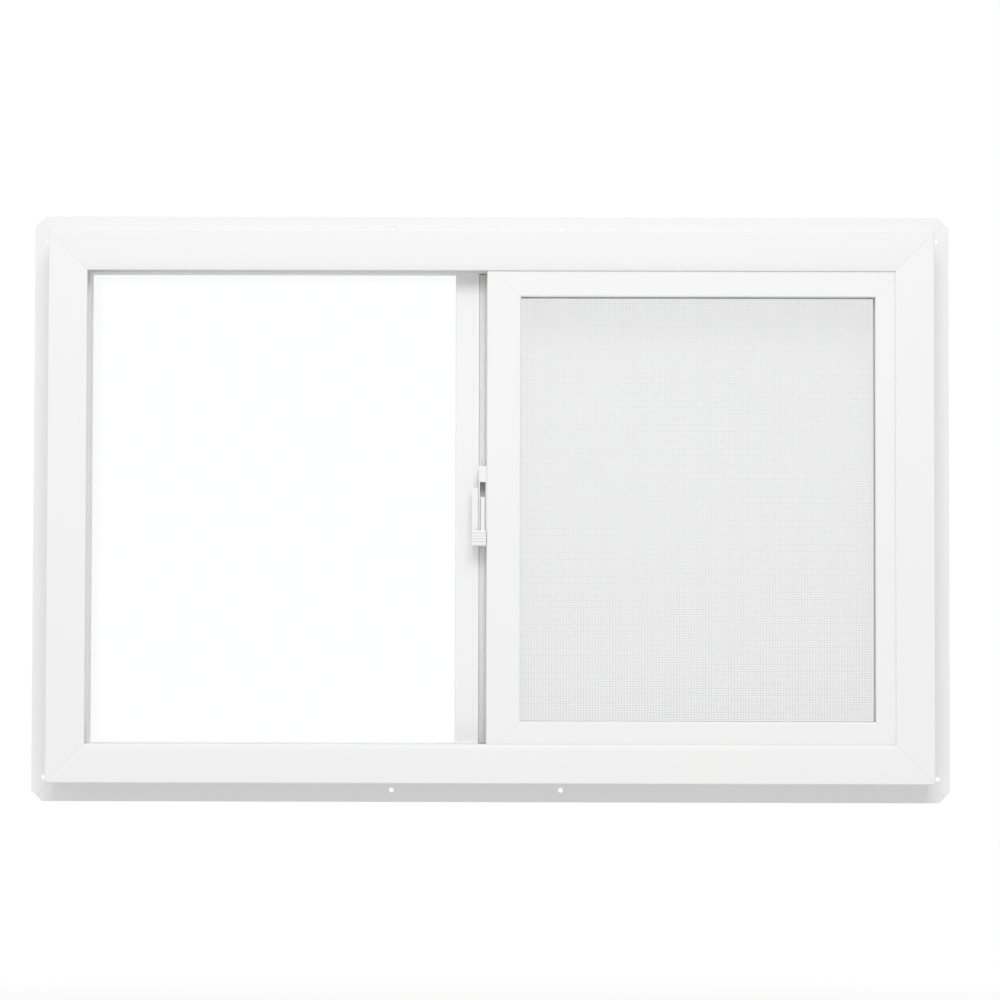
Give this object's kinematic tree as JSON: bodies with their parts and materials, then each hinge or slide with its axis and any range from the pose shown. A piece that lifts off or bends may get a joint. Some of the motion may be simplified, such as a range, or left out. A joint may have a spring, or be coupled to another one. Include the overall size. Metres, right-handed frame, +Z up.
{
  "type": "horizontal sliding window",
  "caption": "White vinyl sliding window with a fixed lite, a sliding sash with a slide latch, a half insect screen and a nailing fin round the frame.",
  "frame": {"origin": "on the room side of the nailing fin, at the middle of the bottom fin", "axes": "+X to the right as seen from the room, +Y from the room to outdoors, +Z up"},
  "size_m": [0.8446, 0.072, 0.5396],
  "materials": {
    "frame_vinyl": "satin white extruded vinyl",
    "mullion_vinyl": "satin white extruded vinyl",
    "sash_vinyl": "satin white extruded vinyl",
    "bead_vinyl": "satin white extruded vinyl",
    "glass": "clear float glass",
    "spacer_metal": "mill",
    "track_metal": "anodised",
    "pile": "grey woven pile",
    "latch_plastic": "moulded white plastic",
    "housing_nylon": "moulded nylon",
    "roller_nylon": "moulded nylon",
    "screen_paint": "white baked enamel on roll-formed aluminium",
    "screen_wire": "bright drawn wire",
    "spline_vinyl": "soft ribbed vinyl",
    "tab_plastic": "soft plastic"
  },
  "bodies": {
    "root": {"fixed_bead_bottom": "bead_vinyl", "fixed_bead_left": "bead_vinyl", "fixed_bead_right": "bead_vinyl", "fixed_bead_top": "bead_vinyl", "fixed_glass_spacer": "spacer_metal", "fixed_inner_pane": "glass", "fixed_outer_pane": "glass", "frame_head": "frame_vinyl", "frame_left_jamb": "frame_vinyl", "frame_right_jamb": "frame_vinyl", "frame_sill": "frame_vinyl", "latch_arm": "latch_plastic", "latch_case": "latch_plastic", "latch_keeper": "latch_plastic", "latch_slider": "latch_plastic", "meeting_mullion": "mullion_vinyl", "mullion_weatherstrip": "pile", "sash_bead_bottom": "bead_vinyl", "sash_bead_left": "bead_vinyl", "sash_bead_right": "bead_vinyl", "sash_bead_top": "bead_vinyl", "sash_bottom_rail": "sash_vinyl", "sash_end_stile": "sash_vinyl", "sash_glass_spacer": "spacer_metal", "sash_inner_pane": "glass", "sash_meeting_stile": "sash_vinyl", "sash_outer_pane": "glass", "sash_roller_housings": "housing_nylon", "sash_rollers": "roller_nylon", "sash_top_rail": "sash_vinyl", "sash_weatherstrips": "pile", "screen_bottom_rail": "screen_paint", "screen_left_stile": "screen_paint", "screen_mesh": "screen_wire", "screen_pull_tabs": "tab_plastic", "screen_right_stile": "screen_paint", "screen_spline": "spline_vinyl", "screen_top_rail": "screen_paint", "sill_roller_track": "track_metal"}
  },
  "joints": []
}
